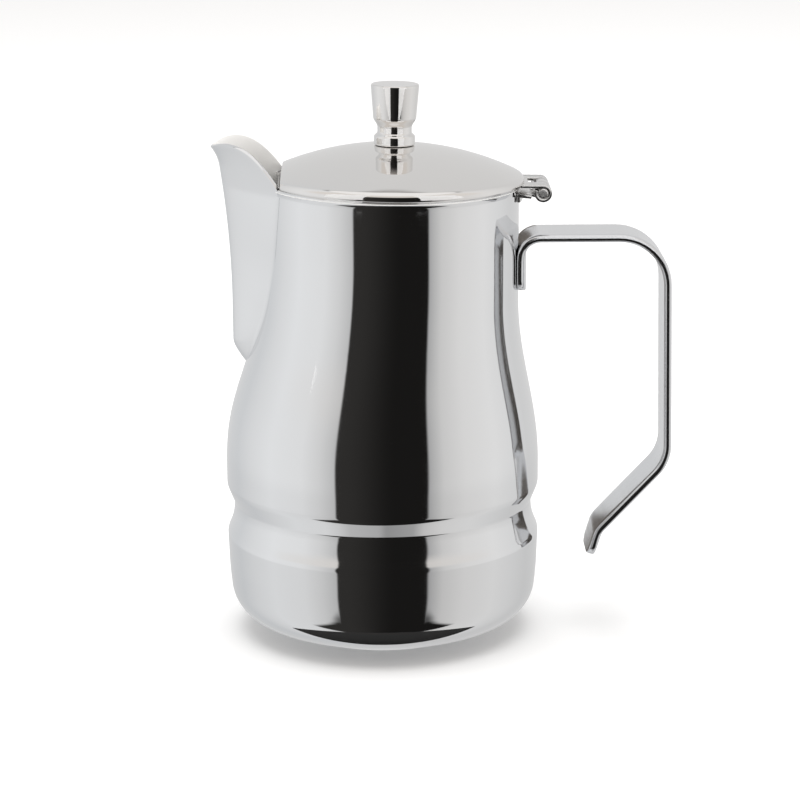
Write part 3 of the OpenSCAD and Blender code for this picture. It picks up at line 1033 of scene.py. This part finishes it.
# Brightness and warmth of the tent's walls, at shares of the way from the front to the back
LEFT_WALL = ((0, 0.5, 0), (0.2, 0.60, 0), (0.26, 0.74, 0), (0.34, 0.86, -0.005),
             (0.5, 0.90, -0.01), (0.62, 0.82, -0.01), (0.74, 0.72, -0.02), (1, 0.73, 0))
RIGHT_WALL = ((0, 0.35, 0), (0.185, 0.44, 0), (0.25, 0.68, 0.01), (0.35, 0.80, 0.01),
              (0.5, 0.86, 0.005), (0.62, 0.80, 0), (0.74, 0.72, 0), (1, 0.73, 0))


def tent(sky):
    """Pale walls, warmer in the upper front, black far below, with a frame's bar under the bright top."""
    turn = sky.maths("DIVIDE", sky.maths("ABSOLUTE", sky.round), 180)
    left, right = (sky.ramp(turn, [(share, grey(value, warmth)) for share, value, warmth in wall])
                   for wall in (LEFT_WALL, RIGHT_WALL))
    walls = sky.mix(sky.step(sky.x, -0.05, 0.05), left, right)
    walls = sky.mix(sky.step(sky.height, -22, -10, 0.9, 1), (0, 0, 0), walls)
    warm = sky.mix(sky.step(sky.height, 8, 35), walls, grey(0.78, 0.045))
    walls = sky.mix(sky.step(sky.y, -0.2, 0.1, 1, 0), walls, warm)
    bar = sky.times(sky.step(sky.height, 56.5, 59), sky.step(sky.height, 60, 61, 1, 0),
                    sky.step(sky.y, 0.0, 0.3, 0, 0.6))
    walls = sky.mix(bar, walls, grey(0.2, 0.06))
    return sky.mix(sky.step(sky.height, 60, 61.5), walls, grey(0.98, 0.01))


def opening(sky):
    """How much of the dark opening in front is seen. Downwards it ends at the table's straight edge."""
    down = sky.maths("MAXIMUM", sky.times(sky.z, -1), 0.001)
    ahead = sky.maths("DIVIDE", sky.times(sky.y, -1), down)
    aside = sky.maths("DIVIDE", sky.maths("ABSOLUTE", sky.x), down)
    past_edge = sky.step(ahead, 0.6, 0.64)
    door = sky.times(sky.step(sky.round, -35.5, -33.5), sky.step(sky.round, 32, 34.5, 1, 0),
                     sky.step(sky.height, 30, 44, 1, 0), past_edge)
    gap = sky.times(past_edge, sky.step(ahead, 1.3, 1.8, 1, 0), sky.step(aside, 0.95, 1.2, 1, 0))
    return sky.maths("MAXIMUM", door, gap)


def studio_light():
    """A light tent round the pot, with a dark opening in front where the camera stands."""
    sky = Sky()
    dark = sky.mix(sky.step(sky.round, -30, 10), grey(0.030, 0.05), grey(0.010, 0.05))
    sky.show(sky.mix(opening(sky), tent(sky), dark), 1.0)


def floor():
    """A plain pale floor. The steel shows the light tent's lower half in its place."""
    s = Shader("floor_paper")
    grain = s.noise(700, 3)
    s.set("Base Color", s.mix(grain, (0.93, 0.93, 0.93), (0.90, 0.90, 0.90)))
    s.set("Roughness", 0.9)
    s.set("Emission Color", (1, 1, 1, 1))
    s.set("Emission Strength", 0.14)
    s.set("Normal", s.bump(grain, 0.00002, 0.15))
    reach = 6000
    corners = [(reach * x, reach * y, 0) for x, y in ((-1, -1), (1, -1), (1, 1), (-1, 1))]
    plane = new_object("floor", corners, [(0, 1, 2, 3)])
    plane.data.materials.append(s.material)
    plane.visible_glossy = False


def card(name, points, colour):
    """A flat card that is seen only in the steel. The studio's cards are made with it, and so is the painted
    shadow before the foot.
    """
    s = Shader(name)
    s.set("Base Color", (*colour, 1))
    s.set("Roughness", 0.8)
    obj = new_object(name, points, [tuple(range(len(points)))])
    obj.data.materials.append(s.material)
    for sight in ("camera", "diffuse", "transmission", "shadow", "volume_scatter"):
        setattr(obj, "visible_" + sight, False)


def bow(half, ends, middle):
    """Points of an arc from left to right, given half its width and the Y of its ends and its middle."""
    deep = ends - middle
    r = (half ** 2 + deep ** 2) / (2 * deep)
    swing = math.degrees(math.asin(half / r))
    return [tuple(p) for p in arc((0, middle + r), r, -90 - swing, -90 + swing, 40)]


def upright(left, right, y, low, high):
    """Corners of an upright rectangle."""
    return [(left, y, low), (right, y, low), (right, y, high), (left, y, high)]


def cards():
    """A dark card on the floor before the foot, which is a painted shadow seen in the steel; one behind the
    pot; and pale ones for the knob's sides.
    """
    half, ends, clear = 34, -33, 0.3
    outline = bow(half, ends, -53) + bow(half, ends, -39.5)[-2:0:-1]
    # Painted shadow: this dark card, seen only in the steel's reflection, stands in for the shade on the
    # floor just before the foot
    card("foot_shadow_card", [(x, y, clear) for x, y in outline], grey(0.02))
    card("back_card", upright(-15, 46, 58, 2, 126), (0.19, 0.17, 0.15))
    for side in (-1, 1):
        card("knob_card", upright(37.5 * side, 150 * side, -100, 117, 260), grey(0.95))


def overhead_light():
    """A wide soft lamp that whitens the floor. It isn't seen in the steel."""
    data = bpy.data.lights.new("overhead", "AREA")
    data.shape = "DISK"
    data.size = 1.6
    data.energy = 17
    lamp = bpy.data.objects.new("overhead", data)
    lamp.location = (0, 0, 1.5)
    lamp.visible_glossy = False
    lamp.visible_camera = False
    bpy.context.scene.collection.objects.link(lamp)


def camera():
    """The photographer's view: a long lens a little above the lid."""
    distance, height = 0.7417, 0.2546
    pitch, aside, roll = (math.radians(a) for a in (14.158, -0.402, -0.3))
    data = bpy.data.cameras.new("camera")
    data.sensor_width = 36
    data.lens = 118.56
    data.clip_start, data.clip_end = 0.01, 100
    cam = bpy.data.objects.new("camera", data)
    turn = (Matrix.Rotation(aside, 4, "Z") @ Matrix.Rotation(math.pi / 2 - pitch, 4, "X")
            @ Matrix.Rotation(roll, 4, "Z"))
    cam.matrix_world = Matrix.Translation((0, -distance, height)) @ turn
    bpy.context.scene.collection.objects.link(cam)
    bpy.context.scene.camera = cam


body_shell()
spout()
spout_weld()
handle()
spot_welds("handle_weld_spots", "handle_spot_welds", [(y, z) for y in (-4.5, 4.5) for z in (104.5, 109.5)])
spot_welds("bracket_weld_spots", "bracket_spot_welds", [(y, BRACKET_Z - 0.7) for y in (-5.5, 5.5)], 0.9)
hinge_leaf()
hinge_bracket()
hinge_pin()
lid_cover()
leaf_welds()
knob()
screw()
washer()

studio_light()
floor()
cards()
overhead_light()
camera()
bpy.context.scene.view_settings.view_transform = "Standard"
